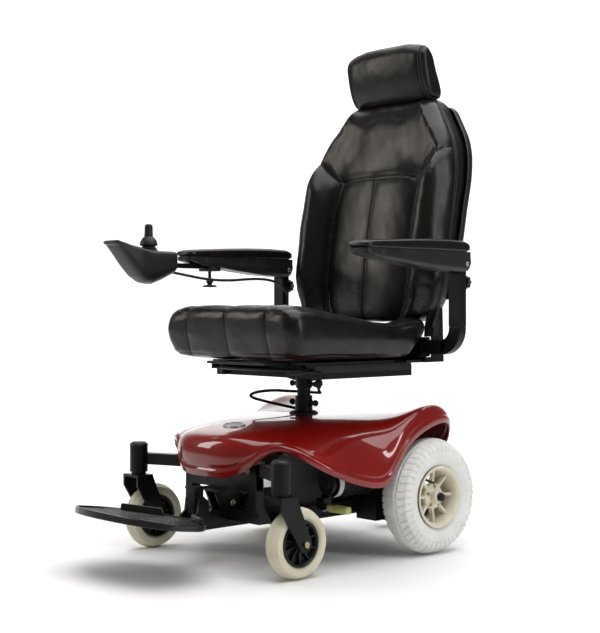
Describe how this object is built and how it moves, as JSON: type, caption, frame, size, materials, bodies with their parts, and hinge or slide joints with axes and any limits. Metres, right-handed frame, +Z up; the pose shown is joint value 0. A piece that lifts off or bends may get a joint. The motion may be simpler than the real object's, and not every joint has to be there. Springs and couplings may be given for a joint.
{
  "type": "power wheelchair",
  "caption": "Rear-drive power wheelchair with a padded captain seat on a centre post, flip-up armrests, fold-up footplate and joystick pod.",
  "frame": {"origin": "middle of the chair's outer length and width, on the floor", "axes": "+Z up, the chair faces -Y, the occupant's left is +X"},
  "size_m": [0.671, 0.9594, 1.223],
  "materials": {
    "frame_black": "satin powder coat",
    "shroud_red": "high gloss automotive lacquer",
    "plastic_charcoal": "fine moulded grain",
    "vinyl_black": "soft sheen, stitched seams",
    "tyre_white": "matt off-white rubber",
    "tyre_cream": "matt cream rubber",
    "rim_ivory": "gloss ivory lacquer",
    "zinc": "yellow zinc plating",
    "steel": "bright steel",
    "battery_case": "moulded case",
    "sleeve_yellow": "translucent sleeve",
    "lead_black": "smooth jacket",
    "key_grey": "smooth cap",
    "rubber_dark": "matt rubber"
  },
  "bodies": {
    "base": {"main_frame": "frame_black", "caster_arm_left": "frame_black", "caster_arm_right": "frame_black", "footrest_hanger": "frame_black", "footrest_beam": "frame_black", "post_socket": "frame_black", "battery_tray": "plastic_charcoal", "batteries": "battery_case", "control_module": "steel", "shroud": "shroud_red", "gearmotor_left": "frame_black", "gearmotor_right": "frame_black", "anti_tip_frame": "frame_black", "main_lead": "lead_black"},
    "release_left": {"release_lever_left": "sleeve_yellow"},
    "release_right": {"release_lever_right": "sleeve_yellow"},
    "drive_wheel_left": {"drive_rim_left": "rim_ivory", "drive_tyre_left": "tyre_white"},
    "drive_wheel_right": {"drive_rim_right": "rim_ivory", "drive_tyre_right": "tyre_white"},
    "fork_left": {"caster_fork_left": "frame_black", "caster_axle_left": "zinc"},
    "fork_right": {"caster_fork_right": "frame_black", "caster_axle_right": "zinc"},
    "caster_wheel_left": {"caster_hub_left": "plastic_charcoal", "caster_tyre_left": "tyre_cream"},
    "caster_wheel_right": {"caster_hub_right": "plastic_charcoal", "caster_tyre_right": "tyre_cream"},
    "anti_tip_left": {"anti_tip_wheel_left": "rubber_dark"},
    "anti_tip_right": {"anti_tip_wheel_right": "rubber_dark"},
    "footrest": {"footplate": "frame_black"},
    "seat_mount": {"seat_post": "frame_black", "seat_frame": "frame_black", "plate_bolts": "frame_black", "lead_connector": "lead_black", "seat_lead": "lead_black"},
    "seat": {"seat_pan": "plastic_charcoal", "seat_cushion": "vinyl_black", "arm_receiver": "frame_black", "recline_hinges": "frame_black"},
    "slide_release": {"slide_lever": "frame_black"},
    "recline_release": {"recline_lever": "plastic_charcoal"},
    "backrest": {"back_shell": "plastic_charcoal", "back_cushion": "vinyl_black"},
    "head": {"headrest_posts": "steel", "headrest": "vinyl_black"},
    "bracket_left": {"arm_bracket_left": "frame_black"},
    "bracket_right": {"arm_bracket_right": "frame_black"},
    "post_left": {"arm_post_left": "frame_black"},
    "post_right": {"arm_post_right": "frame_black", "joystick_lead": "lead_black"},
    "arm_left": {"arm_panel_left": "plastic_charcoal", "arm_pad_left": "vinyl_black"},
    "arm_right": {"arm_panel_right": "plastic_charcoal", "arm_pad_right": "vinyl_black"},
    "pod": {"joystick_arm": "frame_black", "joystick_housing": "plastic_charcoal"},
    "gimbal": {"joystick_gimbal": "steel"},
    "stick": {"joystick_stick": "rubber_dark"},
    "key": {"power_key": "key_grey"}
  },
  "joints": [
    {"name": "drive_wheel_left_spin", "type": "hinge", "parent": "base", "child": "drive_wheel_left", "pos_m": [0.245, 0.2487, 0.1325], "axis": [1, 0, 0], "continuous": true},
    {"name": "caster_left_swivel", "type": "hinge", "parent": "base", "child": "fork_left", "pos_m": [0.249, -0.2113, 0.2], "axis": [0, 0, 1], "continuous": true},
    {"name": "caster_left_spin", "type": "hinge", "parent": "fork_left", "child": "caster_wheel_left", "pos_m": [0.249, -0.1693, 0.075], "axis": [1, 0, 0], "continuous": true},
    {"name": "anti_tip_left_spin", "type": "hinge", "parent": "base", "child": "anti_tip_left", "pos_m": [0.08, 0.4467, 0.046], "axis": [1, 0, 0], "continuous": true},
    {"name": "release_left_turn", "type": "hinge", "parent": "base", "child": "release_left", "pos_m": [0.158, -0.0013, 0.114], "axis": [0, 0, -1], "range_deg": [0, 60]},
    {"name": "drive_wheel_right_spin", "type": "hinge", "parent": "base", "child": "drive_wheel_right", "pos_m": [-0.245, 0.2487, 0.1325], "axis": [1, 0, 0], "continuous": true},
    {"name": "caster_right_swivel", "type": "hinge", "parent": "base", "child": "fork_right", "pos_m": [-0.249, -0.2113, 0.2], "axis": [0, 0, 1], "continuous": true},
    {"name": "caster_right_spin", "type": "hinge", "parent": "fork_right", "child": "caster_wheel_right", "pos_m": [-0.249, -0.1693, 0.075], "axis": [1, 0, 0], "continuous": true},
    {"name": "anti_tip_right_spin", "type": "hinge", "parent": "base", "child": "anti_tip_right", "pos_m": [-0.08, 0.4467, 0.046], "axis": [1, 0, 0], "continuous": true},
    {"name": "release_right_turn", "type": "hinge", "parent": "base", "child": "release_right", "pos_m": [-0.158, -0.0013, 0.114], "axis": [0, 0, 1], "range_deg": [0, 60]},
    {"name": "footplate_fold", "type": "hinge", "parent": "base", "child": "footrest", "pos_m": [0, -0.2653, 0.1], "axis": [-1, 0, 0], "range_deg": [0, 80]},
    {"name": "seat_height", "type": "slide", "parent": "base", "child": "seat_mount", "axis": [0, 0, 1], "range_m": [0, 0.05]},
    {"name": "seat_slide", "type": "slide", "parent": "seat_mount", "child": "seat", "axis": [0, 1, 0], "range_m": [-0.06, 0.018]},
    {"name": "slide_lever_lift", "type": "hinge", "parent": "seat", "child": "slide_release", "pos_m": [0, -0.0713, 0.425], "axis": [-1, 0, 0], "range_deg": [0, 8], "stiffness_Nm_per_rad": 1, "springref_deg": -17.19},
    {"name": "backrest_recline", "type": "hinge", "parent": "seat", "child": "backrest", "pos_m": [0, 0.3137, 0.583], "axis": [-1, 0, 0], "range_deg": [-75, 25]},
    {"name": "recline_lever_pull", "type": "hinge", "parent": "seat", "child": "recline_release", "pos_m": [0.217, 0.3137, 0.583], "axis": [1, 0, 0], "range_deg": [0, 25], "stiffness_Nm_per_rad": 0.5, "springref_deg": -17.19},
    {"name": "headrest_height", "type": "slide", "parent": "backrest", "child": "head", "axis": [0, -0.2419, 0.9703], "range_m": [0, 0.06]},
    {"name": "arm_left_width", "type": "slide", "parent": "seat", "child": "bracket_left", "axis": [1, 0, 0], "range_m": [0, 0.05]},
    {"name": "arm_left_height", "type": "slide", "parent": "bracket_left", "child": "post_left", "axis": [0, 0, 1], "range_m": [0, 0.04]},
    {"name": "arm_left_flip", "type": "hinge", "parent": "post_left", "child": "arm_left", "pos_m": [0.301, 0.2847, 0.664], "axis": [-1, 0, 0], "range_deg": [0, 90]},
    {"name": "arm_right_width", "type": "slide", "parent": "seat", "child": "bracket_right", "axis": [-1, 0, 0], "range_m": [0, 0.05]},
    {"name": "arm_right_height", "type": "slide", "parent": "bracket_right", "child": "post_right", "axis": [0, 0, 1], "range_m": [0, 0.04]},
    {"name": "arm_right_flip", "type": "hinge", "parent": "post_right", "child": "arm_right", "pos_m": [-0.301, 0.2847, 0.664], "axis": [-1, 0, 0], "range_deg": [0, 90]},
    {"name": "joystick_reach", "type": "slide", "parent": "arm_right", "child": "pod", "axis": [0, -1, 0], "range_m": [0, 0.05]},
    {"name": "joystick_pitch", "type": "hinge", "parent": "pod", "child": "gimbal", "pos_m": [-0.301, -0.1453, 0.69], "axis": [1, 0, 0], "range_deg": [-15, 15], "stiffness_Nm_per_rad": 0.4},
    {"name": "joystick_roll", "type": "hinge", "parent": "gimbal", "child": "stick", "pos_m": [-0.301, -0.1453, 0.69], "axis": [0, 1, 0], "range_deg": [-15, 15], "stiffness_Nm_per_rad": 0.4},
    {"name": "power_key_press", "type": "slide", "parent": "pod", "child": "key", "axis": [0, 0, -1], "range_m": [0, 0.0012], "stiffness_N_per_m": 800}
  ]
}
